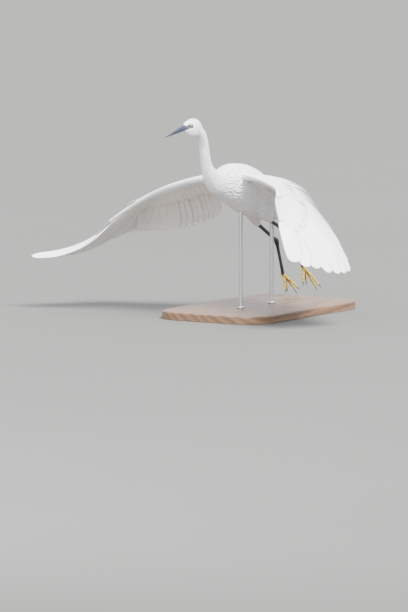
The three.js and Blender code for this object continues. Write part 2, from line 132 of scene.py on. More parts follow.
def make_piece(name, shape, finish, stands_for=(), smooth=True):
    """A mesh object in the shared frame that rides with the bird."""
    points, faces = shape
    mesh = bpy.data.meshes.new(name)
    mesh.from_pydata(((np.asarray(points) + HIPS) * MM).tolist(), [], [list(map(int, f)) for f in faces])
    mesh.update()
    mesh.polygons.foreach_set("use_smooth", [smooth] * len(mesh.polygons))
    mesh.materials.append(finish)
    piece = bpy.data.objects.new(name, mesh)
    bpy.context.scene.collection.objects.link(piece)
    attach(piece, "root")
    if stands_for:
        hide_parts(*stands_for)
    return piece


def set_map(piece, name, per_loop):
    layer = piece.data.uv_layers.new(name=name)
    layer.data.foreach_set("uv", np.asarray(per_loop, np.float32).ravel())
    return layer


# Finishes
class Tone:
    """A socket that takes arithmetic."""

    def __init__(self, finish, socket):
        self.finish, self.socket = finish, socket

    def combine(self, operation, first, second):
        node = self.finish.node("ShaderNodeMath", {"operation": operation}, {0: first, 1: second})
        return Tone(self.finish, node.outputs[0])

    def __add__(self, other):
        return self.combine("ADD", self, other)

    def __sub__(self, other):
        return self.combine("SUBTRACT", self, other)

    def __rsub__(self, other):
        return self.combine("SUBTRACT", other, self)

    def __mul__(self, other):
        return self.combine("MULTIPLY", self, other)

    def __truediv__(self, other):
        return self.combine("DIVIDE", self, other)

    def __pow__(self, other):
        return self.combine("POWER", self, other)

    __radd__ = __add__
    __rmul__ = __mul__

    def least(self, other):
        return self.combine("MINIMUM", self, other)

    def most(self, other):
        return self.combine("MAXIMUM", self, other)

    def size(self):
        return self.combine("ABSOLUTE", self, 0.0)

    def sine(self):
        return self.combine("SINE", self, 0.0)

    def from_to(self, low, high, out_low=0.0, out_high=1.0):
        """Smoothly from out_low at low to out_high at high."""
        node = self.finish.node(
            "ShaderNodeMapRange", {"interpolation_type": "SMOOTHSTEP"},
            {0: self, 1: low, 2: high, 3: out_low, 4: out_high})
        return Tone(self.finish, node.outputs[0])


class Finish:
    """A named material with one Principled shader."""

    def __init__(self, name, **constants):
        self.material = bpy.data.materials.new(name)
        self.material.use_nodes = True
        self.tree = self.material.node_tree
        self.shader = self.tree.nodes["Principled BSDF"]
        for socket, value in constants.items():
            self.shader.inputs[socket.replace("_", " ")].default_value = value

    def node(self, kind, settings=None, inputs=None):
        node = self.tree.nodes.new(kind)
        for key, value in (settings or {}).items():
            setattr(node, key, value)
        for key, value in (inputs or {}).items():
            self.feed(node.inputs[key], value)
        return node

    def feed(self, socket, value):
        if isinstance(value, Tone):
            value = value.socket
        if isinstance(value, bpy.types.NodeSocket):
            self.tree.links.new(value, socket)
        else:
            socket.default_value = value

    def tone(self, kind, settings=None, inputs=None, output=0):
        return Tone(self, self.node(kind, settings, inputs).outputs[output])

    def place(self):
        """Distances from the hips in millimetres."""
        position = self.node("ShaderNodeTexCoord").outputs["Object"]
        parts = self.node("ShaderNodeSeparateXYZ", None, {0: position})
        return [Tone(self, parts.outputs[k]) * 1000 - HIPS[k] for k in range(3)]

    def object_place(self):
        return self.node("ShaderNodeTexCoord").outputs["Object"]

    def vane_place(self):
        """Across a feather, 0 to 1, and along it from its root."""
        layer = self.node("ShaderNodeUVMap", {"uv_map": "vane"})
        parts = self.node("ShaderNodeSeparateXYZ", None, {0: layer.outputs[0]})
        return Tone(self, parts.outputs[0]), Tone(self, parts.outputs[1])

    def stretched(self, x, y, z):
        """The object's place with each axis scaled."""
        return self.node("ShaderNodeVectorMath", {"operation": "MULTIPLY"},
                         {0: self.object_place(), 1: (x, y, z)}).outputs[0]

    def noise(self, scale, detail=3.0, place=None, rough=0.5):
        return self.tone("ShaderNodeTexNoise", None, {
            "Vector": place or self.object_place(), "Scale": scale, "Detail": detail, "Roughness": rough})

    def cells(self, scale, place=None, feature="F1"):
        return self.tone("ShaderNodeTexVoronoi", {"feature": feature},
                         {"Vector": place or self.object_place(), "Scale": scale})

    def blend(self, factor, first, second):
        """A colour between first and second."""
        node = self.tree.nodes.new("ShaderNodeMix")
        node.data_type = "RGBA"
        self.feed(node.inputs[0], factor)
        for slot, colour in ((6, first), (7, second)):
            if isinstance(colour, tuple):
                colour = (*colour, 1.0)
            self.feed(node.inputs[slot], colour)
        return node.outputs[2]

    def colour(self, value):
        self.feed(self.shader.inputs["Base Color"], value)

    def rough(self, value):
        self.feed(self.shader.inputs["Roughness"], value)

    def bump(self, height, strength, distance):
        values = {"Height": height, "Strength": strength, "Distance": distance}
        node = self.node("ShaderNodeBump", None, values)
        self.feed(self.shader.inputs["Normal"], node.outputs[0])


WHITE = (0.90, 0.90, 0.885)
COOL = (0.80, 0.82, 0.87)
# A warm beige used twice: as random warm clouds over all the plumage, and as the painted shade on the wing
# undersides.
WARM_TINT_AND_UNDER_SHADE = (0.84, 0.765, 0.68)


def lore_mask(y, z):
    """1 on the bare skin between bill and eye, for arrays."""
    t = np.clip((-y - 280.5) / 17, -0.4, 1)
    off = np.abs(z - (371.6 - 3.4 * np.maximum(t, 0)))
    wide = 4.4 - 0.8 * np.maximum(t, 0) - 5 * np.maximum(-t, 0)
    return smoothstep(1.0, -0.4, off - wide) * smoothstep(-275, -277, y)


def plumage_finish(name, barbs=True, under=False, lores=False):
    """Soft white feathering, with barbs slanting off each shaft."""
    finish = Finish(name, Specular_IOR_Level=0.25, Sheen_Weight=0.25, Sheen_Roughness=0.5,
                    Subsurface_Weight=0.12, Subsurface_Scale=0.004)
    finish.shader.inputs["Subsurface Radius"].default_value = (1.0, 0.9, 0.8)
    cloud = finish.noise(26, 3)
    colour = finish.blend(cloud.from_to(0.35, 0.7), WHITE, COOL)
    colour = finish.blend(finish.noise(9, 2).from_to(0.5, 0.75, 0, 0.35), colour, WARM_TINT_AND_UNDER_SHADE)
    rough = 0.62 + finish.noise(300, 2) * 0.16
    if barbs:
        across, along = finish.vane_place()
        off = (across - 0.5).size()
        slant = (along * 150 - off * 34 + finish.noise(120, 2) * 3).sine()
        root = along.from_to(0.0, 0.35, 0.16, 0.0)
        colour = finish.blend(root + off.from_to(0.36, 0.5, 0.0, 0.10), colour, COOL)
        shaft = off.from_to(0.012, 0.035, 1.0, 0.0)
        colour = finish.blend(shaft * 0.45, colour, (0.86, 0.84, 0.78))
        rough = rough - shaft * 0.2
        finish.bump(slant * 0.5 + shaft * 0.6 + finish.noise(700, 2) * 0.5, 0.35, 0.0004)
    else:
        finish.bump(finish.noise(420, 4, finish.stretched(1, 0.25, 0.6)), 0.4, 0.0006)
    # Painted shade: the lower faces of the flight feathers and all the under coverts are tinted warm beige,
    # most near the roots and less towards the tips. This stands in for the shade and the warm reflected light
    # under the wings.
    if under:
        lower = finish.tone("ShaderNodeAttribute", {"attribute_name": "under"}, None, 2)
        across, along = finish.vane_place()
        painted_under_shade = lower * along.from_to(0.15, 1.0, 0.9, 0.25)
        colour = finish.blend(painted_under_shade, colour, WARM_TINT_AND_UNDER_SHADE)
    if lores:
        x, y, z = finish.place()
        t = ((y * -1 - 280.5) / 17).most(-0.4).least(1)
        ahead = t.most(0)
        behind = (t * -1).most(0)
        off = (z - (371.6 - ahead * 3.4)).size()
        mask = (off - (4.4 - ahead * 0.8 - behind * 5)).from_to(-0.4, 1.0, 1, 0) * y.from_to(-277, -275, 1, 0)
        mottle = finish.noise(900, 3).from_to(0.3, 0.7)
        skin = finish.blend(mottle, (0.022, 0.024, 0.055), (0.065, 0.07, 0.13))
        yellow = (z - 369.0).from_to(-1.6, 0.8, 1, 0) * y.from_to(-290, -284, 0, 1)
        skin = finish.blend(yellow * 0.85, skin, (0.60, 0.58, 0.24))
        colour = finish.blend(mask, colour, skin)
        rough = rough - mask * 0.2
    finish.colour(colour)
    finish.rough(rough)
    return finish.material


def bill_finish():
    """Dark slate horn, paler and pinkish under the root."""
    finish = Finish("bill_horn", Specular_IOR_Level=0.3, Coat_Weight=0.06, Coat_Roughness=0.2)
    x, y, z = finish.place()
    streak = finish.noise(160, 4, finish.stretched(3, 0.3, 3))
    horn = finish.blend(streak.from_to(0.35, 0.7), (0.012, 0.015, 0.030), (0.036, 0.042, 0.078))
    reach = (y * -1 - 287) / 79
    line = 369.0 + (y + 287) * 0.178
    below = (z - line).from_to(-3.2, -1.4, 1, 0) * reach.from_to(0.3, 0.62, 1, 0)
    horn = finish.blend(below * 0.85, horn, (0.62, 0.47, 0.44))
    worn = reach.from_to(0.8, 1.0, 0, 0.5)
    horn = finish.blend(worn, horn, (0.010, 0.012, 0.020))
    horn = finish.blend(reach.from_to(0.0, 0.3, 0.3, 0.0), horn, (0.08, 0.09, 0.16))
    finish.colour(horn)
    finish.rough(0.30 + streak * 0.22)
    finish.bump(streak + finish.noise(900, 3) * 0.4, 0.25, 0.0003)
    return finish.material


def eye_finish():
    """Black pupil in a pale yellow iris under a wet surface."""
    finish = Finish("eye_wet", Roughness=0.05, Specular_IOR_Level=0.6, Coat_Weight=1.0, Coat_Roughness=0.02)
    x, y, z = finish.place()
    dy = y + 280.5
    dz = z - 372.0
    out = (dy * dy + dz * dz) ** 0.5
    rays = finish.noise(1400, 3)
    iris = finish.blend(rays.from_to(0.3, 0.7), (0.40, 0.34, 0.06), (0.28, 0.24, 0.05))
    colour = finish.blend(out.from_to(2.45, 2.65), (0.004, 0.004, 0.005), iris)
    colour = finish.blend(out.from_to(3.0, 3.3), colour, (0.02, 0.018, 0.016))
    finish.colour(colour)
    return finish.material


def lid_finish():
    finish = Finish("lid_skin", Specular_IOR_Level=0.4)
    x, y, z = finish.place()
    grain = finish.cells(1600)
    lower = (z - 370.6).from_to(-1.5, 1.5, 1, 0)
    colour = finish.blend(grain, (0.03, 0.033, 0.05), (0.07, 0.075, 0.11))
    finish.colour(finish.blend(lower * 0.75, colour, (0.55, 0.54, 0.24)))
    finish.rough(0.45 + grain * 0.2)
    finish.bump(grain, 0.5, 0.0002)
    return finish.material


def scale_finish(name, dark, light, seam, shine):
    """Scaled skin of legs and feet, with broad scutes down the front."""
    finish = Finish(name, Specular_IOR_Level=0.5)
    x, y, z = finish.place()
    cell = finish.cells(520, finish.stretched(1, 1, 0.7))
    edge = finish.cells(520, finish.stretched(1, 1, 0.7), "DISTANCE_TO_EDGE")
    blotch = finish.noise(90, 3)
    colour = finish.blend(blotch.from_to(0.3, 0.72), dark, light)
    gap = edge.from_to(0.0, 0.12, 1, 0)
    colour = finish.blend(gap * 0.75, colour, seam)
    finish.colour(colour)
    finish.rough(shine + blotch * 0.2 + gap * 0.15)
    finish.bump(edge.from_to(0.0, 0.25, 0, 1) + cell * 0.2, 0.55, 0.0005)
    return finish.material


def claw_finish():
    finish = Finish("claw_horn", Specular_IOR_Level=0.5, Coat_Weight=0.2)
    streak = finish.noise(500, 3, finish.stretched(2, 1, 0.5))
    finish.colour(finish.blend(streak, (0.012, 0.011, 0.010), (0.065, 0.055, 0.045)))
    finish.rough(0.30 + streak * 0.2)
    finish.bump(streak, 0.2, 0.0002)
    return finish.material


def wood_finish():
    """Oiled dark wood with the grain along the board."""
    finish = Finish("base_oiled_wood", Specular_IOR_Level=0.45, Coat_Weight=0.15, Coat_Roughness=0.3)
    wander = finish.noise(3.2, 3, finish.stretched(1, 0.35, 1))
    parts = finish.node("ShaderNodeSeparateXYZ", None, {0: finish.object_place()})
    x, y, z = (Tone(finish, parts.outputs[k]) for k in range(3))
    ring = ((x * 0.9 + z * 1.6 + wander * 0.16) * 260).sine() * 0.5 + 0.5
    pore = finish.noise(520, 2, finish.stretched(1.6, 0.05, 1.6)).from_to(0.52, 0.66)
    fine = finish.noise(130, 4, finish.stretched(1.5, 0.12, 1.5))
    colour = finish.blend(ring * 0.7 + fine * 0.3, (0.105, 0.055, 0.030), (0.215, 0.125, 0.068))
    colour = finish.blend(pore * 0.6, colour, (0.045, 0.024, 0.014))
    finish.colour(colour)
    finish.rough(0.36 + pore * 0.25 + fine * 0.1)
    finish.bump(fine * 0.5 - pore * 0.6 + ring * 0.2, 0.25, 0.0004)
    return finish.material


def rod_finish():
    finish = Finish("rod_brushed_steel", Metallic=1.0, Specular_IOR_Level=0.5)
    streak = finish.noise(700, 3, finish.stretched(6, 6, 0.15))
    finish.colour(finish.blend(streak, (0.46, 0.47, 0.49), (0.62, 0.63, 0.65)))
    finish.rough(0.26 + streak * 0.2)
    finish.bump(streak, 0.12, 0.0001)
    return finish.material


def floor_finish():
    finish = Finish("pale_floor", Specular_IOR_Level=0.2)
    finish.colour(finish.blend(finish.noise(1.2, 2), (0.118, 0.118, 0.112), (0.13, 0.13, 0.124)))
    finish.rough(0.8)
    return finish.material


coat_white = plumage_finish("plumage_coat")
skin_white = plumage_finish("plumage_skin", barbs=False, lores=True)
arm_white = plumage_finish("plumage_arm", barbs=False)
flight_white = plumage_finish("plumage_flight", under=True)
covert_white = plumage_finish("plumage_coverts")
covert_under = plumage_finish("plumage_under_coverts", under=True)
bill_horn = bill_finish()
eye_wet = eye_finish()
lid_skin = lid_finish()
leg_skin = scale_finish(
    "leg_black_scales", (0.010, 0.011, 0.013), (0.035, 0.036, 0.040), (0.005, 0.005, 0.006), 0.34)
foot_skin = scale_finish(
    "foot_yellow_scales", (0.42, 0.27, 0.03), (0.66, 0.46, 0.07), (0.20, 0.14, 0.05), 0.42)
claw_horn = claw_finish()


# Feathers
class Vanes:
    """Many closed feathers of one pattern, joined into one piece."""

    def __init__(self, stations, widths, columns, thickness=(1.0, 0.5)):
        self.s = np.asarray(stations, float)
        self.w = np.asarray(widths, float)
        self.c = np.asarray(columns, float)
        self.thick = thickness[0] + (thickness[1] - thickness[0]) * self.s
        n = len(self.c)
        self.ring = 2 * n
        self.across = np.r_[self.c, self.c[::-1]]
        self.face = np.r_[np.ones(n), -np.ones(n)]
        self.batches = []

    def add(self, root, tip, dorsal, width, bow=0.04, twist=0.0, bend=0.0, inner=0.5, notch=None,
            depth=1.0, outward=1.0, home=None):
        """home is each feather's place on the skin's map. inner is the broad web's share of the width."""
        root = np.atleast_2d(root)
        count = len(root)

        def spread(v):
            return np.broadcast_to(np.asarray(v, float).reshape(-1, 1, 1), (count, 1, 1))

        along = np.broadcast_to(tip, root.shape) - root
        length = np.linalg.norm(along, axis=1)[:, None, None]
        along = unit(along)
        side = unit(np.cross(along, dorsal))
        up = np.cross(side, along)
        twist, bow, bend, width, inner = map(spread, (twist, bow, bend, width, inner))
        s, c = self.s[None, :, None], self.across[None, None, :]
        along, side, up, root = (v[:, None, None, :] for v in (along, side, up, root))
        half = width * self.w[None, :, None] * np.where(c * spread(outward) > 0, inner, 1 - inner)
        if notch is not None:
            half = half * notch
        turned = side * np.cos(twist)[..., None] - up * np.sin(twist)[..., None]
        lift = up * np.cos(twist)[..., None] + side * np.sin(twist)[..., None]
        arch = 4 * s * (1 - s)
        shaft = np.where(np.abs(c) < 0.02, 1.0, 0.0) * (1 - 0.8 * s)
        web_rise = self.thick[None, :, None] / 2 * spread(depth) * (1 - 0.35 * c**2)
        rise = self.face * (web_rise + 0.28 * shaft * spread(depth))
        sag = -0.10 * half * c**2
        points = (root + along * (length * s)[..., None] + up * (bow * length * arch)[..., None]
                  + side * (bend * length * s**2)[..., None]
                  + turned * (half * c)[..., None] + lift * (rise + sag)[..., None])
        home = None if home is None else np.asarray(home, float)
        self.batches.append((points, home))

    def faces(self):
        ring, stations = self.ring, len(self.s)
        quads, places = [], []
        for r in range(stations - 1):
            for k in range(ring):
                a, b = r * ring + k, r * ring + (k + 1) % ring
                quads.append((a, a + ring, b + ring, b))
                places.append(((k, r), (k, r + 1), (k + 1, r + 1), (k + 1, r)))
        for k in range(len(self.c) - 1):
            m = ring - 1 - k
            quads.append((k, k + 1, m - 1, m))
            places.append(((k, 0), (k + 1, 0), (m - 1, 0), (m, 0)))
            t = (stations - 1) * ring
            quads.append((t + m, t + m - 1, t + k + 1, t + k))
            places.append(tuple((r, stations - 1) for r in (m, m - 1, k + 1, k)))
        return np.array(quads), np.array(places)

    def build(self, name, finish, stands_for=()):
        """Makes the piece, its vane map and its bake map."""
        points = np.concatenate([p.reshape(len(p), -1, 3) for p, _ in self.batches])
        count, size = points.shape[:2]
        quads, places = self.faces()
        first = points[0]
        a, b, c, d = (first[quads[:, k]] - first.mean(0) for k in range(4))
        if (np.einsum("ij,ij->i", a, np.cross(b, c)) + np.einsum("ij,ij->i", a, np.cross(c, d))).sum() < 0:
            quads, places = quads[:, ::-1], places[:, ::-1]
        every = (quads[None] + size * np.arange(count)[:, None, None]).reshape(-1, 4)
        piece = make_piece(name, (points.reshape(-1, 3), every), finish, stands_for)
        ring = self.ring
        flat = places.reshape(-1, 2)
        across = (self.across[flat[:, 0] % ring] + 1) / 2
        along = self.s[flat[:, 1]]
        set_map(piece, "vane", np.tile(np.c_[across, along], (count, 1)))
        if self.batches[0][1] is None:
            rows = math.ceil(math.sqrt(count * 2))
            cols = math.ceil(count / rows)
            unroll = np.c_[(flat[:, 0] + 0.5) / (ring + 1), 0.02 + 0.96 * along]
            cell = np.c_[np.arange(count) % cols, np.arange(count) // cols]
            atlas = (cell[:, None] + 0.04 + 0.92 * unroll[None]) / np.array([cols, rows])
            set_map(piece, "OFBake", atlas)
        else:
            home = np.concatenate([h for _, h in self.batches])
            patch = 0.003 * (np.c_[across, along] - 0.5)
            set_map(piece, "OFBake", home[:, None] * 0.99 + 0.005 + patch[None])
        # The 'under' attribute marks the lower faces that take the painted underwing shade in the plumage
        # finish.
        if finish.name in ("plumage_flight", "plumage_under_coverts"):
            lower = np.tile(np.repeat((1 - self.face)[None] / 2, len(self.s), 0).ravel(), count)
            if finish.name == "plumage_under_coverts":
                lower = np.ones_like(lower)
            layer = piece.data.attributes.new("under", "FLOAT", "POINT")
            layer.data.foreach_set("value", lower.astype(np.float32))
        return piece


def jitter(count, low, high):
    return chance.uniform(low, high, count)


# Body skin
TORSO = [
    (0, -171, 253, 3, 3), (0, -166, 251, 19, 22), (0, -150, 248, 30, 34), (0, -125, 245, 37, 42),
    (0, -92, 237, 41, 47), (0, -58, 224, 42, 49), (0, -18, 208, 39, 45), (0, 20, 193, 34, 37),
    (0, 54, 181, 24, 26), (0, 82, 171, 15, 14), (0, 92, 168, 4, 4),
]
NECK = [
    (0, -148, 246, 25, 30), (0, -174, 252, 21, 25), (0, -194, 265, 16, 18.5), (0, -207, 282, 12.6, 13.4),
    (0, -215, 305, 10.8, 11.4), (0, -220, 328, 10.4, 11.0), (0, -229, 348, 11.0, 12.0),
    (0, -242, 360, 11.8, 12.2),
]
HEAD = [
    (0, -234, 358, 3, 4), (0, -238, 360, 7.5, 10), (0, -245, 363.4, 10.8, 14.8), (0, -256, 366.9, 13.5, 18),
    (0, -268, 368.4, 13.6, 17.2), (0, -280, 367.9, 11.8, 13.4), (0, -290, 367.3, 7.8, 9.0),
    (0, -296, 367, 5.6, 6.6),
]
THIGHS = {
    "right": [(-20, -14, 192, 18, 22), (-22, 4, 172, 14, 17), (-24.5, 18, 157, 9.5, 11),
              (-26, 30, 148, 5, 5.4)],
    "left": [(20, -34, 196, 18, 22), (21, -20, 180, 14, 17), (21, -8, 168, 9.5, 11), (21, 2, 160, 5, 5.4)],
}
EYE = np.array([8.8, -280.5, 372.0])
EYE_RADIUS = 4.6
# Each part of the coat: its keys, coat depth, feather length and width, spacing, and lie along the keys.
COAT = {
    "torso": (TORSO, 3.2, 17.0, 8.0, 4.9, 1),
    "neck": (NECK, 1.5, 7.5, 3.4, 2.1, -1),
    "head": (HEAD, 0.8, 3.9, 2.0, 1.4, -1),
    "thigh_right": (THIGHS["right"], 1.6, 10.5, 4.6, 3.0, 1),
    "thigh_left": (THIGHS["left"], 1.6, 10.5, 4.6, 3.0, 1),
}


def build_skin():
    shapes = []
    for keys, depth, *_ in COAT.values():
        shapes.append(skin_of_rings(swept_rings(keys, 60, 48, grow=-depth)))
    skin = make_piece("plumage_skin", join_shapes(shapes), skin_white, (
        "torso", "neck_lower", "neck_middle", "neck_upper", "head", "thigh_left", "thigh_right"))
    remesh = skin.modifiers.new("one_skin", "REMESH")
    remesh.mode = "VOXEL"
    remesh.voxel_size = 0.0014
    ease = skin.modifiers.new("ease", "SMOOTH")
    ease.factor = 0.5
    ease.iterations = 10
    made = bpy.data.meshes.new_from_object(skin.evaluated_get(bpy.context.evaluated_depsgraph_get()))
    skin.modifiers.clear()
    skin.data = made
    points = np.empty(len(made.vertices) * 3, np.float32)
    made.vertices.foreach_get("co", points)
    points = points.reshape(-1, 3) / MM - HIPS
    for side in (-1, 1):
        off = points - EYE * (side, 1, 1)
        near = np.exp(-(off[:, 1]**2 + off[:, 2]**2) / 3.6**2)
        near = near * (np.sign(points[:, 0]) == side) * (points[:, 1] < -250)
        points[:, 0] -= side * 1.5 * near
    brow = np.exp(-((points[:, 1] + 283) / 7)**2 - ((points[:, 2] - 377.4) / 2.0)**2)
    points[:, 0] += np.sign(points[:, 0]) * 0.9 * brow
    throat = np.exp(-((points[:, 1] + 272) / 16)**2)
    throat = throat * smoothstep(366, 356, points[:, 2]) * (points[:, 2] > 330)
    points[:, 2] -= 3.4 * throat
    made.vertices.foreach_set("co", ((points + HIPS) * MM).astype(np.float32).ravel())
    made.update()
    made.polygons.foreach_set("use_smooth", [True] * len(made.polygons))
    bpy.ops.object.select_all(action="DESELECT")
    bpy.context.view_layer.objects.active = skin
    skin.select_set(True)
    made.uv_layers.new(name="OFBake")
    bpy.ops.object.mode_set(mode="EDIT")
    bpy.ops.mesh.select_all(action="SELECT")
    bpy.ops.uv.smart_project(angle_limit=math.radians(66), island_margin=0.002)
    bpy.ops.object.mode_set(mode="OBJECT")
    skin.select_set(False)
    return skin


skin = build_skin()


def read_skin():
    """Triangles of the skin: corner points, corner map places and areas."""
    mesh = skin.data
    mesh.calc_loop_triangles()
    n = len(mesh.loop_triangles)
    loops = np.empty(n * 3, np.int32)
    mesh.loop_triangles.foreach_get("loops", loops)
    verts = np.empty(n * 3, np.int32)
    mesh.loop_triangles.foreach_get("vertices", verts)
    points = np.empty(len(mesh.vertices) * 3, np.float32)
    mesh.vertices.foreach_get("co", points)
    normals = np.empty(len(mesh.vertices) * 3, np.float32)
    mesh.vertices.foreach_get("normal", normals)
    uv = np.empty(len(mesh.loops) * 2, np.float32)
    mesh.uv_layers["OFBake"].data.foreach_get("uv", uv)
    corner = (points.reshape(-1, 3) / MM - HIPS)[verts].reshape(n, 3, 3)
    facing = normals.reshape(-1, 3)[verts].reshape(n, 3, 3)
    home = uv.reshape(-1, 2)[loops].reshape(n, 3, 2)
    area = np.linalg.norm(np.cross(corner[:, 1] - corner[:, 0], corner[:, 2] - corner[:, 0]), axis=1) / 2
    return corner, facing, home, area


corner, facing, home_uv, area = read_skin()


def part_axes():
    """Samples of every part's middle line with its lie, radius and part number."""
    rows = []
    for number, (keys, *_, lie) in enumerate(COAT.values()):
        shares = np.linspace(0, 1, 40)
        keys = np.asarray(keys, float)
        line = Line(keys[:, :3])
        size = Line(np.c_[keys[:, 3:5], 0 * keys[:, 3]]).at(shares)[:, :2].max(1)
        lies = lie * line.along(shares)
        rows.append(np.c_[line.at(shares), lies, np.maximum(size, 3), np.full(40, number), shares])
    return np.vstack(rows)


axes = part_axes()
numbers = np.array([[depth, length, width, spacing] for _, depth, length, width, spacing, _ in COAT.values()])


skin_tree = BVHTree.FromObject(skin, bpy.context.evaluated_depsgraph_get())


def on_skin(points, lift):
    """The nearest places on the skin, lifted off it, with the skin's normals."""
    found = [skin_tree.find_nearest(Vector((p + HIPS) * MM))[:2] for p in points]
    normals = np.array([normal for _, normal in found])
    return np.array([hit for hit, _ in found]) / MM - HIPS + normals * np.asarray(lift)[:, None], normals


def coat_at(points):
    """Lie of the coat, part number and blended coat numbers at points on the skin."""
    lie = np.empty_like(points)
    part = np.empty(len(points), int)
    sizes = np.empty((len(points), 4))
    for start in range(0, len(points), 4000):
        p = points[start:start + 4000]
        far = np.linalg.norm(p[:, None] - axes[None, :, :3], axis=2) / axes[None, :, 6]
        weight = np.maximum(far, 0.2)**-9.0
        lie[start:start + 4000] = unit((weight[..., None] * axes[None, :, 3:6]).sum(1))
        part[start:start + 4000] = axes[far.argmin(1), 7].astype(int)
        share = np.stack([(weight * (axes[:, 7] == k)).sum(1) for k in range(len(numbers))], 1)
        sizes[start:start + 4000] = (share / share.sum(1, keepdims=True)) @ numbers
    return lie, part, sizes


def spread_over_skin(tries):
    """Even random places on the skin, closer together where feathers are small."""
    which = chance.choice(len(area), tries, p=area / area.sum())
    a, b = chance.random(tries), chance.random(tries)
    a, b = np.where(a + b > 1, 1 - a, a), np.where(a + b > 1, 1 - b, b)
    shares = np.stack([1 - a - b, a, b], 1)
    points = (corner[which] * shares[..., None]).sum(1)
    normals = unit((facing[which] * shares[..., None]).sum(1))
    homes = (home_uv[which] * shares[..., None]).sum(1)
    lie, part, sizes = coat_at(points)
    cell = 5.0
    taken, kept = {}, []
    for i, (p, gap) in enumerate(zip(points.tolist(), sizes[:, 3].tolist())):
        key = tuple(int(v // cell) for v in p)
        clear = True
        for dx in (-1, 0, 1):
            for dy in (-1, 0, 1):
                for dz in (-1, 0, 1):
                    for q in taken.get((key[0] + dx, key[1] + dy, key[2] + dz), ()):
                        if (p[0] - q[0])**2 + (p[1] - q[1])**2 + (p[2] - q[2])**2 < gap * gap:
                            clear = False
                            break
                    if not clear:
                        break
                if not clear:
                    break
            if not clear:
                break
        if clear:
            taken.setdefault(key, []).append(p)
            kept.append(i)
    kept = np.array(kept)
    return points[kept], normals[kept], homes[kept], lie[kept], part[kept], sizes[kept]


def build_coat():
    """Small body feathers over the skin, lying back from the bill and down the thighs."""
    points, normals, homes, lie, part, sizes = spread_over_skin(130000)
    bare = lore_mask(points[:, 1], points[:, 2]) > 0.25
    eye_off = np.minimum(*(np.linalg.norm(points - EYE * (s, 1, 1), axis=1) for s in (-1, 1)))
    bill_side = (points[:, 1] < -292.5) & (part == 2)
    keep = ~bare & (eye_off > 5.2) & ~bill_side
    points, normals, homes, lie, part, sizes = (v[keep] for v in (points, normals, homes, lie, part, sizes))
    flow = unit(lie - normals * (lie * normals).sum(1)[:, None])
    count = len(points)
    flow = unit(flow + np.cross(normals, flow) * jitter(count, -0.10, 0.10)[:, None])
    depth, length, width = sizes[:, 0], sizes[:, 1], sizes[:, 2]
    face = smoothstep(-264, -290, points[:, 1]) * (part == 2)
    length = length * (1 - 0.45 * face) * jitter(count, 0.85, 1.15)
    width = width * (1 - 0.4 * face) * jitter(count, 0.85, 1.15)
    breast = (part == 0) & (points[:, 1] < -95) & (normals[:, 2] < 0.2)
    length = length * np.where(breast, 1.25, 1.0)
    width = width * np.where(breast, 0.8, 1.0)
    root = points - normals * 0.35
    lift = depth * jitter(count, 0.34, 0.62) * np.where(part == 0, 0.5, 1.0)
    tip, _ = on_skin(points + flow * length[:, None] * 0.97, lift)
    groups = {
        "coat_head": part == 2,
        "coat_neck": part == 1,
        "coat_breast": (part == 0) & (points[:, 1] < -70),
        "coat_back": (part == 0) & (points[:, 1] >= -70),
        "coat_thighs": part > 2,
    }
    for name, own in groups.items():
        small = own.sum() > 3300
        vanes = Vanes([0, 0.3, 0.62, 0.86, 1], [0.45, 0.92, 1, 0.68, 0.16],
                      [-1, 1] if small else [-1, 0, 1], (0.45, 0.2))
        vanes.add(root[own], tip[own], normals[own], width[own], bow=0.04,
                  twist=jitter(own.sum(), -0.06, 0.06),
                  depth=(length[own] / 20).clip(0.3, 0.6), home=homes[own])
        vanes.build(name, coat_white)


build_coat()


# Wings
ARM_THICKNESS = Line([[t, 0, 0] for t in (19, 15, 12, 10, 8, 4.5)])
FEATHER_BOW = 0.05
WINGS = {
    "right": (-1, [
        [(-24, -122, 262), (-85, -138, 250), (-142, -148, 231),
         (-194, -152, 205), (-228, -156, 182), (-262, -160, 159)],
        [(-42, -86, 246), (-98, -100, 230), (-148, -113, 213),
         (-196, -134, 197), (-229, -142, 179), (-260, -150, 158)],
        [(-96, 24, 172), (-148, 29, 148), (-209, 6, 130),
         (-300, -22, 122), (-388, -98, 79), (-446, -182, 82)]], -0.12),
    "left": (1, [
        [(24, -122, 262), (70, -148, 262), (110, -170, 257),
         (150, -190, 246), (163, -211, 222), (185, -231, 189)],
        [(46, -88, 254), (86, -106, 249), (120, -136, 244),
         (148, -164, 236), (164, -195, 214), (182, -222, 187)],
        [(36, 40, 240), (72, 44, 222), (132, 4, 184),
         (211, -51, 137), (298, -160, 84), (253, -295, 114)]], 0.05),
}
FINE = [0, 0.04, 0.1, 0.18, 0.27, 0.37, 0.47, 0.57, 0.66, 0.74, 0.81, 0.87, 0.92, 0.96, 0.985, 1]
SECONDARY_SHAPE = [0.10, 0.25, 0.5, 0.68, 0.8, 0.88, 0.94, 0.98, 1, 1, 0.99, 0.95, 0.86, 0.68, 0.44, 0.12]
PRIMARY_SHAPE = [0.10, 0.25, 0.48, 0.66, 0.8, 0.9, 0.97, 1, 1, 0.99, 0.95, 0.89, 0.8, 0.63, 0.42, 0.12]
WEB = [-1, -0.78, -0.5, -0.22, -0.035, 0, 0.035, 0.22, 0.5, 0.78, 1]


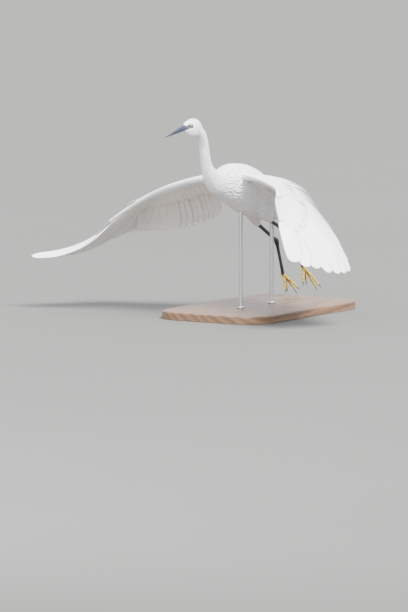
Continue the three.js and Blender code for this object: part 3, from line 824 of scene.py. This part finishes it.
class Wing:
    """Places on one wing. Chord 0 is the leading edge, 1 the feather roots, 2 the feather tips."""

    def __init__(self, outward, lines, hand_bow):
        self.outward, self.hand_bow = outward, hand_bow
        self.lead, self.root, self.tip = map(Line, lines)

    def frame(self, share):
        share = np.asarray(share, float)
        lead, root, tip = self.lead.at(share), self.root.at(share), self.tip.at(share)
        ahead, behind = np.minimum(share + 0.01, 1), np.maximum(share - 0.01, 0)
        near, far = (line.at(ahead) - line.at(behind) for line in (self.root, self.tip))
        span = near * 0.93 + far * 0.07
        dorsal = unit(-self.outward * np.cross(unit(tip - root), span))
        return lead, root, tip, dorsal

    def bow(self, share):
        """How far the flight feathers arch, as a share of their length; negative where tips curl up."""
        return FEATHER_BOW + (self.hand_bow - FEATHER_BOW) * np.clip((np.asarray(share) - 0.6) / 0.4, 0, 1)

    def surface(self, share, chord, face, lift=0.0):
        """A point on the wing's back, face 1, or underside, face -1, lifted off it."""
        share = np.asarray(share, float)
        chord = np.broadcast_to(np.asarray(chord, float), share.shape)
        lead, root, tip, dorsal = self.frame(share)
        reach = np.linalg.norm(root - lead, axis=-1)
        back = unit(root - lead)
        up = unit(dorsal - back * (dorsal * back).sum(-1)[..., None])
        c = np.clip(chord * reach / (reach + 6), 0, 1)
        half = ARM_THICKNESS.at(share)[..., 0] * (1 - 0.5 * c) * np.sqrt(np.clip(c * (1 - c), 0, 1))
        on_arm = lead + (root - lead) * chord[..., None] + up * (face * (half + lift))[..., None]
        r = np.clip(chord - 1, 0, 1)
        length = np.linalg.norm(tip - root, axis=-1)
        arch = 4 * self.bow(share) * length * r * (1 - r)
        height = arch + face * (np.maximum(0.8, half * (1 - 3 * r)) + lift)
        on_feathers = root + (tip - root) * r[..., None] + dorsal * height[..., None]
        return np.where((chord > 1)[..., None], on_feathers, on_arm), dorsal


def build_arm(side, wing):
    """The fleshy arm under the coverts."""
    shares = np.linspace(0, 1, 44)
    around = 28
    angle = np.linspace(0, 2 * np.pi, around, endpoint=False)
    c = (1 - np.cos(angle)) / 2
    lead, root, _, dorsal = wing.frame(shares)
    back = root - lead
    chord = np.linalg.norm(back, axis=1) + 4
    back = unit(back)
    up = unit(dorsal - back * (dorsal * back).sum(1)[:, None])
    half = ARM_THICKNESS.at(shares)[:, 0] - 1.6
    rings = (lead[:, None] + back[:, None] * (0.8 + (chord[:, None] - 1.6) * c)[..., None]
             + up[:, None] * (half[:, None] * (1 - 0.5 * c) * np.sin(angle) / 2)[..., None])
    return make_piece(f"wing_{side}_arm", skin_of_rings(rings), arm_white, (f"wing_{side}",))


def flight_row(vanes, wing, count, low, high, spread, cap, turn, bend, inner):
    shares = np.linspace(low, high, count)
    step = (high - low) / (count - 1)
    lead, root, tip, dorsal = wing.frame(shares)
    half = [wing.frame(np.clip(shares + d * step / 2, 0, 1)) for d in (-1, 1)]
    gap = np.linalg.norm((half[0][2] - half[1][2]), axis=1)
    width = np.minimum(cap, spread * gap)
    tip = root + (tip - root) * jitter(count, 0.965, 1.015)[:, None]
    notch = np.ones((count, len(vanes.s), vanes.ring))
    for i in range(count):
        for _ in range(chance.integers(0, 3)):
            edge = chance.choice([0, len(vanes.c) - 1])
            at = chance.integers(7, 13)
            notch[i, at, [edge, vanes.ring - 1 - edge]] = chance.uniform(0.84, 0.93)
    root = root + unit(lead - root) * 4
    vanes.add(root, tip, dorsal, width * jitter(count, 0.96, 1.05),
              bow=wing.bow(shares) * jitter(count, 0.9, 1.1),
              twist=-wing.outward * turn * jitter(count, 0.8, 1.2), bend=wing.outward * bend, inner=inner,
              notch=notch, outward=-wing.outward)


def covert_row(vanes, wing, face, count, low, high, start, end, width, lift, lean=0.0, bow=0.03):
    """One tier of coverts from chord start to chord end."""
    count = int(count)
    shares = np.linspace(low, high, count) + jitter(count, -0.25, 0.25) * (high - low) / count
    shares = np.clip(shares, 0, 1)
    ends = end + jitter(count, -0.03, 0.03)
    root, dorsal = wing.surface(shares, start, face, -0.9)
    tip, _ = wing.surface(np.clip(shares + lean, 0, 1), ends, face, lift)
    span = wing.root.at(np.clip(shares + 0.5 * (high - low) / count, 0, 1)) - wing.root.at(
        np.clip(shares - 0.5 * (high - low) / count, 0, 1))
    wide = np.maximum(width * 0.55, np.minimum(width, 1.9 * np.linalg.norm(span, axis=1)))
    home = np.c_[shares, np.full(count, (start + 0.2) / 1.6)] * 0.96 + 0.02
    vanes.add(root, tip, face * dorsal, wide * jitter(count, 0.92, 1.1), bow=bow,
              twist=-face * wing.outward * 0.09 * jitter(count, 0.5, 1.3), home=home)


def build_wing(side):
    wing = Wing(*WINGS[side])
    build_arm(side, wing)
    flight = Vanes(FINE, SECONDARY_SHAPE, WEB, (0.9, 0.42))
    flight_row(flight, wing, 16, 0.05, 0.615, 1.85, 38, 0.03, 0.02, 0.56)
    flight.build(f"wing_{side}_secondaries", flight_white)
    flight = Vanes(FINE, PRIMARY_SHAPE, WEB, (1.0, 0.45))
    flight_row(flight, wing, 10, 0.645, 0.985, 1.65, 38, 0.03, 0.03, 0.6)
    flight.build(f"wing_{side}_primaries", flight_white)
    for face, finish, word in ((1, covert_white, "back"), (-1, covert_under, "under")):
        rows = Vanes([0, 0.2, 0.42, 0.62, 0.8, 0.92, 1], [0.4, 0.8, 0.97, 1, 0.86, 0.56, 0.14],
                     [-1, -0.5, -0.04, 0, 0.04, 0.5, 1], (0.7, 0.3))
        deep = 1.0 if face > 0 else 0.86
        covert_row(rows, wing, face, 16, 0.05, 0.62, 0.62, 1 + 0.40 * deep, 24, 1.2, 0.004)
        covert_row(rows, wing, face, 11, 0.64, 0.92, 0.45, 1 + 0.36 * deep, 24, 1.2, 0.002)
        covert_row(rows, wing, face, 26, 0.04, 0.94, 0.40, 1 + 0.24 * deep, 19, 2.2, 0.006)
        covert_row(rows, wing, face, 32, 0.03, 0.96, 0.24, 1 + 0.11 * deep, 15, 2.9, 0.008)
        rows.build(f"wing_{side}_{word}_great_coverts", finish)
        small = Vanes([0, 0.3, 0.62, 0.86, 1], [0.45, 0.92, 1, 0.7, 0.16], [-1, 0, 1], (0.5, 0.22))
        tiers = [(40, 0.12, 0.98, 12), (46, 0.05, 0.84, 11), (52, 0.0, 0.70, 10), (60, -0.03, 0.55, 9),
                 (70, -0.04, 0.42, 7.5), (84, -0.04, 0.30, 6.5)]
        for count, start, end, width in tiers:
            covert_row(small, wing, face, count, 0.01, 0.99, max(start, 0.01), end, width, 1.0, 0.01, 0.06)
        small.build(f"wing_{side}_{word}_small_coverts", finish)
    edge = Vanes([0, 0.3, 0.62, 0.86, 1], [0.5, 0.92, 1, 0.7, 0.16], [-1, 0, 1], (0.5, 0.22))
    for face in (-1, 1):
        for count, start, end in ((150, 0.004, 0.20), (150, 0.03, 0.28)):
            covert_row(edge, wing, face, count, 0.005, 0.995, start, end, 5.0, 0.35, 0.018, 0.10)
    edge.build(f"wing_{side}_edge", covert_white)
    alula = Vanes(FINE, PRIMARY_SHAPE, WEB, (0.9, 0.4))
    shares = np.array([0.60, 0.61, 0.62])
    root, dorsal = wing.surface(shares, 0.12, 1, -0.4)
    tip, _ = wing.surface(shares + np.array([0.15, 0.125, 0.10]), np.array([0.10, 0.24, 0.38]), 1, 2.6)
    alula.add(root, tip, dorsal, np.array([11.0, 10.5, 10.0]), bow=0.04)
    alula.build(f"wing_{side}_thumb_feathers", flight_white)
    return wing


wings = {side: build_wing(side) for side in WINGS}


# Tail and long back feathers
def build_tail():
    root = Line([(11, 84, 168), (0, 86, 170), (-11, 84, 168)])
    tip = Line([(40, 172, 134), (0, 190, 138), (-40, 172, 134)])
    shares = np.linspace(0, 1, 12)
    order = np.abs(shares - 0.5)
    tail = Vanes(FINE, SECONDARY_SHAPE, WEB, (0.8, 0.4))
    dorsal = unit(np.c_[0.25 * (0.5 - shares), np.full(12, 0.3), np.ones(12)])
    lift = np.c_[np.zeros((12, 2)), 2.0 - 5.5 * order]
    tail.add(root.at(shares) + lift * 0.3 - (0, 10, -4), tip.at(shares) + lift, dorsal,
             18.0 * jitter(12, 0.95, 1.05),
             bow=0.03, twist=np.where(shares < 0.5, -0.13, 0.13))
    tail.build("tail_feathers", flight_white, ("tail",))
    rows = Vanes([0, 0.2, 0.42, 0.62, 0.8, 0.92, 1], [0.4, 0.8, 0.97, 1, 0.86, 0.56, 0.14],
                 [-1, -0.5, -0.04, 0, 0.04, 0.5, 1], (0.6, 0.3))
    for face in (1, -1):
        tiers = ((9, 78, 0.55, 15, 3.0), (9, 70, 0.34, 14, 4.6), (8, 60, 0.16, 13, 6.4))
        for count, start, end, width, rise in tiers:
            s = np.linspace(0.04, 0.96, count)
            height = 169 + (82 - start) * 0.38 + face * (7.0 - np.abs(s - 0.5) * 9)
            away = np.c_[(0.5 - s) * 22, np.full(count, start * 1.0), height]
            reach = root.at(s) * (1 - end) + tip.at(s) * end + (0, 0, face * rise)
            home = np.c_[s, np.full(count, 0.25 + 0.5 * (face > 0))] * 0.9 + 0.05
            rows.add(away, reach, face * dorsal[0] * (0, 1, 1), width, bow=0.05, home=home)
    rows.build("tail_coverts", covert_white)


build_tail()


def build_back_feathers():
    """Long loose feathers from each shoulder over the wing's root and down the back."""
    rows = Vanes([0, 0.12, 0.28, 0.44, 0.6, 0.74, 0.86, 0.94, 1],
                 [0.3, 0.6, 0.85, 1, 1, 0.88, 0.66, 0.4, 0.1],
                 [-1, -0.5, -0.04, 0, 0.04, 0.5, 1], (0.6, 0.3))
    for side in (-1, 1):
        for row, (ahead, long) in enumerate(((-126, 46), (-112, 54), (-96, 62), (-78, 70), (-58, 74))):
            count = 11
            around = np.linspace(0.10, 0.62 + 0.13 * row, count) + jitter(count, -0.03, 0.03)
            y = ahead + 6 * np.sin(around * 2.2) + jitter(count, -3, 3)
            centre_z = np.interp(y, [k[1] for k in TORSO], [k[2] for k in TORSO])
            start = np.c_[side * 60 * np.sin(around), y, centre_z + 60 * np.cos(around)]
            root, normal = on_skin(start, np.full(count, -0.3))
            length = long * jitter(count, 0.88, 1.08)
            aim = root + np.c_[side * 0.10 * length, length, -0.36 * length]
            end, _ = on_skin(aim, 2.6 + jitter(count, 0, 0.7) + 1.2 * np.sin(around))
            home = np.c_[0.5 + side * around * 0.3, np.full(count, 0.15 + 0.15 * row)] * 0.9 + 0.05
            rows.add(root, end, normal, 11.5 * jitter(count, 0.9, 1.1), bow=0.035, home=home)
    rows.build("back_long_feathers", covert_white)


build_back_feathers()


# Head
def bill_half(sign):
    """Upper, 1, or lower, -1, half of the bill, with a ridge and a cutting edge."""
    root = np.array([0.0, -287.0, 369.0])
    along = unit([0, -1, -0.178])
    up = unit([0, -0.178, 1])
    keys = [0, 0.12, 0.35, 0.65, 0.9, 1]
    depth = [6, 5.6, 4.4, 3, 1.5, 0.5] if sign > 0 else [5.4, 5, 3.7, 2.4, 1.1, 0.35]
    width = [5.6, 5.2, 4, 2.7, 1.3, 0.4]
    shares = np.linspace(0, 1, 44)
    d = Line(np.c_[depth, keys, np.zeros(6)]).at(shares)[:, 0]
    w = Line(np.c_[width, keys, np.zeros(6)]).at(shares)[:, 0]
    angle = np.linspace(0, np.pi, 23)
    out = np.sign(np.cos(angle)) * np.abs(np.cos(angle))**0.9
    high = np.sin(angle)**0.85
    rings = []
    for s, deep, wide in zip(shares, d, w):
        middle = root + along * (79 * s - 1) + up * (sign * 0.18)
        groove = 0.35 * math.exp(-((s - 0.17) / 0.12)**2) * np.exp(-((high - 0.45) / 0.2)**2) * (sign > 0)
        ridge = 0.25 * np.exp(-(np.cos(angle) / 0.25)**2) * (1 - s) * (sign > 0)
        edge = 0.22 * np.exp(-(high / 0.12)**2) * (1 - s)
        rings.append(middle + np.array([1.0, 0, 0]) * (out * (wide + edge - groove))[:, None]
                     + up * (sign * (deep * high + ridge))[:, None])
    rings = np.array(rings)
    return skin_of_rings(rings if sign > 0 else rings[:, ::-1])


for name, sign in (("bill_upper", 1), ("bill_lower", -1)):
    make_piece(f"{name}_horn", bill_half(sign), bill_horn, (name,))


def ball(middle, radius, bulge, side):
    """An eye with a raised clear front."""
    rings = []
    for polar in np.linspace(0.04, np.pi - 0.04, 26):
        turn = np.linspace(0, 2 * np.pi, 36, endpoint=False)
        off = radius * math.sin(polar)
        reach = radius * math.cos(polar) + bulge * math.exp(-(off / 2.6)**2) * (polar < 1.5)
        rings.append(middle + np.c_[np.full(36, side * reach), off * np.cos(turn) * side, off * np.sin(turn)])
    return skin_of_rings(np.array(rings)[::-1])


def lid_ring(side, middle, radius, thick):
    """Rim of the lids, a little longer than high, drawn to the front corner."""
    rings = []
    for turn in np.linspace(0, 2 * np.pi, 48, endpoint=False):
        out = np.array([0, -math.cos(turn) * 1.12, math.sin(turn) * 0.92])
        corner_pull = 1 + 0.16 * max(0.0, math.cos(turn))**6
        inward = 0.5 * abs(math.cos(turn)) + 1.3 * max(0.0, math.cos(turn))
        centre = middle + out * radius * corner_pull + np.array([-side * inward, 0, 0])
        size = thick * (1.0 + 0.25 * (math.sin(turn) > 0.2))
        ring = []
        for k in np.linspace(0, 2 * np.pi, 12, endpoint=False):
            sideways = np.array([side * size * 0.8 * math.sin(k), 0, 0])
            ring.append(centre + unit(out) * size * math.cos(k) + sideways)
        rings.append(ring)
    rings = np.array(rings)
    count, around = rings.shape[:2]
    faces = [(r * around + k, r * around + (k + 1) % around, (r + 1) % count * around + (k + 1) % around,
              (r + 1) % count * around + k) for r in range(count) for k in range(around)]
    return rings.reshape(-1, 3), faces


for name, side in (("left", 1), ("right", -1)):
    middle = EYE * (side, 1, 1) - (side * 1.1, 0, 0)
    eyeball = ball(middle, EYE_RADIUS - 0.1, 0.35, side)
    make_piece(f"eye_{name}_ball", eyeball, eye_wet, (f"eye_{name}",))
    make_piece(f"eye_{name}_lids", lid_ring(side, middle + (side * 2.2, 0, 0), 3.5, 0.7), lid_skin)


# Legs and feet
LEGS = {
    "right": ((-26, 30, 148), (-30, 105, 109), (-42, 150, 37), (0.04, 0.72, -0.66)),
    "left": ((21, 2, 160), (24, 62, 132), (34, 104, 60), (0.06, 0.62, -0.76)),
}
TOES = [("inner", 40, -0.34, 0.06), ("middle", 54, 0.02, 0.1), ("outer", 47, 0.34, 0.05),
        ("hind", 27, -0.1, -0.9)]


def scuted(rings, pitch, height, front):
    """Raises overlapping scutes on the front of a limb's rings."""
    middle = rings.mean(1)
    run = np.r_[0, np.cumsum(np.linalg.norm(np.diff(middle, axis=0), axis=1))]
    step = (run / pitch) % 1
    saw = step**2 * (1 - smoothstep(0.88, 1.0, step))
    out = unit(rings - middle[:, None])
    facing_front = smoothstep(-0.1, 0.6, out @ unit(front))
    return rings + out * (height * saw[:, None] * facing_front)[..., None]


def build_leg(side):
    end, ankle, heel, toe_direction = (np.array(v, float) for v in LEGS[side])
    outward = 1 if side == "left" else -1

    def between(a, b, share):
        return a + (b - a) * share

    keys = [
        (*end, 3.6, 3.8), (*between(end, ankle, 0.5), 3.3, 3.5), (*between(end, ankle, 0.88), 3.7, 4.0),
        (*ankle, 4.6, 5.1), (*between(ankle, heel, 0.06), 4.5, 4.9), (*between(ankle, heel, 0.16), 3.4, 3.7),
        (*between(ankle, heel, 0.5), 2.9, 3.2), (*between(ankle, heel, 0.86), 3.2, 3.4), (*heel, 3.8, 4.0),
    ]
    keys[0] = (*(end - unit(ankle - end) * 8), 3.6, 3.8)
    rings = scuted(swept_rings(keys, 190, 24), 3.1, 0.45, (0, -0.7, -0.7))
    make_piece(f"leg_{side}", skin_of_rings(rings), leg_skin, (f"shank_{side}",))
    forward = unit(toe_direction)
    sideways = np.array([outward, 0.0, 0.0])
    down = np.cross(forward, sideways) * outward
    hub = swept_rings([(*(heel - forward * 3), 2.6, 2.6), (*(heel + forward), 4.7, 4.5),
                       (*(heel + forward * 6), 4.8, 3.4), (*(heel + forward * 9), 2.6, 2.0)], 20, 20)
    shapes = [skin_of_rings(hub)]
    for name, length, lean, curl in TOES:
        direction = unit(forward + sideways * lean - down * curl)
        start = heel + forward * 3

        def at(share):
            return start + direction * length * share + np.array([0, 0, -1]) * length * 0.06 * share * share

        thick = [(0, 2.8, 2.8), (0.3, 2.2, 2.2), (0.38, 2.7, 2.6), (0.6, 1.9, 1.9),
                 (0.68, 2.4, 2.3), (0.9, 1.6, 1.6), (1, 1.4, 1.6)]
        rings = swept_rings([(*at(s), w, h) for s, w, h in thick], 70, 16)
        shapes.append(skin_of_rings(scuted(rings, 2.3, 0.32, -down)))
        lead = unit(at(1) - at(0.94))

        def claw_at(share):
            return at(1) + lead * (9 * share - 0.8) + np.array([0, 0, -1]) * (2.2 * share**1.7)

        claw = swept_rings([(*claw_at(0), 1.2, 1.35), (*claw_at(0.3), 1.1, 1.25), (*claw_at(0.6), 0.8, 0.95),
                            (*claw_at(0.85), 0.45, 0.5), (*claw_at(1.0), 0.25, 0.25)], 20, 14)
        node = f"claw_{side}_{name}"
        make_piece(f"{node}_horn", skin_of_rings(claw), claw_horn, (node,))
    make_piece(f"toes_{side}", join_shapes(shapes), foot_skin, (f"foot_{side}",))


for side in LEGS:
    build_leg(side)


# Stand
def build_base():
    """A board with rounded corners and an eased edge."""
    width, length, corner_radius, thickness = 250.0, 420.0, 60.0, 16.0
    outline = []
    for qx, qy, start in ((1, 1, 0), (-1, 1, 90), (-1, -1, 180), (1, -1, 270)):
        for angle in np.radians(np.linspace(start, start + 90, 15)):
            corner = (qx * (width / 2 - corner_radius), qy * (length / 2 - corner_radius))
            outline.append((*corner, math.cos(angle), math.sin(angle)))
    outline = np.array(outline)
    profile = [(3.0, 0.0), (1.0, 0.0), (0.3, 0.4), (0.0, 1.2), (0.0, 13.4), (0.35, 14.7), (1.1, 15.6),
               (2.4, thickness), (4.0, thickness)]
    rings = []
    for inset, height in profile:
        reach = corner_radius - inset
        level = outline[:, :2] + outline[:, 2:] * reach
        rings.append(np.c_[level, np.full(len(outline), height)] - HIPS)
    board = skin_of_rings(np.array(rings))
    make_piece("base_board", board, wood_finish(), ("stand_base",), smooth=False)


def build_rods():
    steel = rod_finish()
    for name in ("stand_rod_front", "stand_rod_rear"):
        low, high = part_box(name)
        x, y = (low[0] + high[0]) / 2 / MM - HIPS[0], (low[1] + high[1]) / 2 / MM - HIPS[1]
        bottom, top = low[2] / MM - HIPS[2], high[2] / MM - HIPS[2]
        bar = [(bottom, 3.6), (bottom + 0.4, 4), ((bottom + top) / 2, 4), (top + 6, 4)]
        collar = [(bottom + rise, radius) for rise, radius in (
            (0, 7.0), (0.8, 7.6), (3.0, 7.4), (4.4, 6.4), (5.0, 4.6), (5.2, 3.9))]
        shape = join_shapes([
            skin_of_rings(swept_rings([(x, y, level, radius, radius) for level, radius in keys], steps, 40))
            for keys, steps in ((bar, 40), (collar, 24))])
        make_piece(f"{name}_steel", shape, steel, (name,))


build_base()
build_rods()


# Floor, light and camera
def build_stage():
    mesh = bpy.data.meshes.new("floor")
    reach = 60.0
    corners = [(x * reach, y * reach, 0) for x, y in ((-1, -1), (1, -1), (1, 1), (-1, 1))]
    mesh.from_pydata(corners, [], [(0, 1, 2, 3)])
    mesh.materials.append(floor_finish())
    floor = bpy.data.objects.new("floor", mesh)
    bpy.context.scene.collection.objects.link(floor)
    world = bpy.context.scene.world or bpy.data.worlds.new("soft_room")
    bpy.context.scene.world = world
    world.use_nodes = True
    sky = world.node_tree.nodes["Background"]
    sky.inputs[0].default_value = (0.86, 0.88, 0.95, 1)
    sky.inputs[1].default_value = 1.9

    def lamp(name, kind, place, aim, energy, size, colour):
        data = bpy.data.lights.new(name, kind)
        data.energy = energy
        data.color = colour
        if kind == "AREA":
            data.size = size
        else:
            data.angle = size
        light = bpy.data.objects.new(name, data)
        light.location = place
        light.rotation_mode = "QUATERNION"
        light.rotation_quaternion = (Vector(aim) - Vector(place)).to_track_quat("-Z", "Y")
        bpy.context.scene.collection.objects.link(light)

    lamp("key", "SUN", (2.0, -0.9, 3.4), (0, 0, 0.2), 14.0, 0.5, (1.0, 0.985, 0.96))
    lamp("fill", "AREA", (0.6, -3.6, 1.8), (0, 0, 0.2), 150, 2.6, (0.93, 0.95, 1.0))


def build_camera():
    azimuth, elevation, distance = math.radians(32), math.radians(6), 22.0
    target = Vector((-0.0984, -0.0515, 0.0136))
    level = math.cos(elevation)
    back = Vector((math.sin(azimuth) * level, -math.cos(azimuth) * level, math.sin(elevation)))
    data = bpy.data.cameras.new("camera")
    data.sensor_width = 36
    data.lens = 36 * (distance - 0.1) / 1.224
    data.clip_end = 200
    camera = bpy.data.objects.new("camera", data)
    camera.location = target + back * distance
    camera.rotation_mode = "QUATERNION"
    camera.rotation_quaternion = (-back).to_track_quat("-Z", "Y")
    bpy.context.scene.collection.objects.link(camera)
    bpy.context.scene.camera = camera


build_stage()
build_camera()
